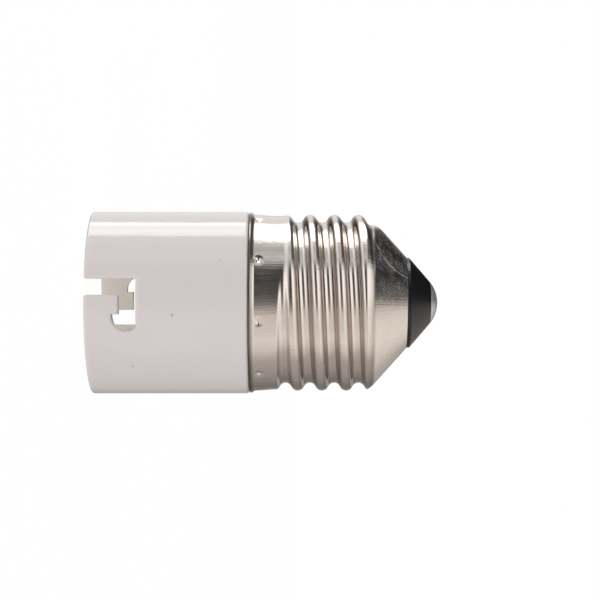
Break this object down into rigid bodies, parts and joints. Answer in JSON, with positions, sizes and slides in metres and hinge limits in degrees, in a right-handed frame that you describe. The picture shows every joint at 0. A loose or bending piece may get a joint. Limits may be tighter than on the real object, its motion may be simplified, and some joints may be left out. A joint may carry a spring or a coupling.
{
  "type": "lamp socket adapter",
  "caption": "Adapter that screws into a screw lamp holder and takes a bayonet lamp cap, with two sprung contact plungers.",
  "frame": {"origin": "centre of the open mouth's rim, on the surface that the rim stands on", "axes": "+Z along the axis from the open mouth to the screw tip, X through the two plungers"},
  "size_m": [0.0272, 0.0272, 0.0516],
  "materials": {
    "white_plastic": "glossy moulded",
    "nickel": "nickel plated, worn",
    "black_plastic": "glossy moulded",
    "contact_metal": "dull, scratched",
    "carrier_plastic": "matt moulded",
    "brass": "bright",
    "screw_steel": "zinc plated",
    "spring_steel": "drawn wire",
    "copper": "tinned copper wire",
    "lead_sleeve": "soft insulation",
    "solder": "solder"
  },
  "bodies": {
    "adapter": {"socket_body": "white_plastic", "screw_shell": "nickel", "tip_insulator": "black_plastic", "centre_contact": "contact_metal", "contact_carrier": "carrier_plastic", "carrier_cover": "carrier_plastic", "contact_strip_left": "brass", "contact_strip_right": "brass", "carrier_screw_front": "screw_steel", "carrier_screw_back": "screw_steel", "spring_left": "spring_steel", "spring_right": "spring_steel", "centre_lead_core": "copper", "centre_lead_sleeve": "lead_sleeve", "shell_lead_core": "copper", "shell_lead_sleeve": "lead_sleeve", "tag_solder_left": "solder", "tag_solder_right": "solder", "tip_solder": "solder", "shell_solder": "solder"},
    "plunger_left": {"plunger_left": "brass"},
    "plunger_right": {"plunger_right": "brass"}
  },
  "joints": [
    {"name": "plunger_left_slide", "type": "slide", "parent": "adapter", "child": "plunger_left", "axis": [0, 0, 1], "range_m": [0, 0.0039], "stiffness_N_per_m": 900, "springref_m": -0.004, "deforming": ["spring_left"]},
    {"name": "plunger_right_slide", "type": "slide", "parent": "adapter", "child": "plunger_right", "axis": [0, 0, 1], "range_m": [0, 0.0039], "stiffness_N_per_m": 900, "springref_m": -0.004, "deforming": ["spring_right"]}
  ]
}
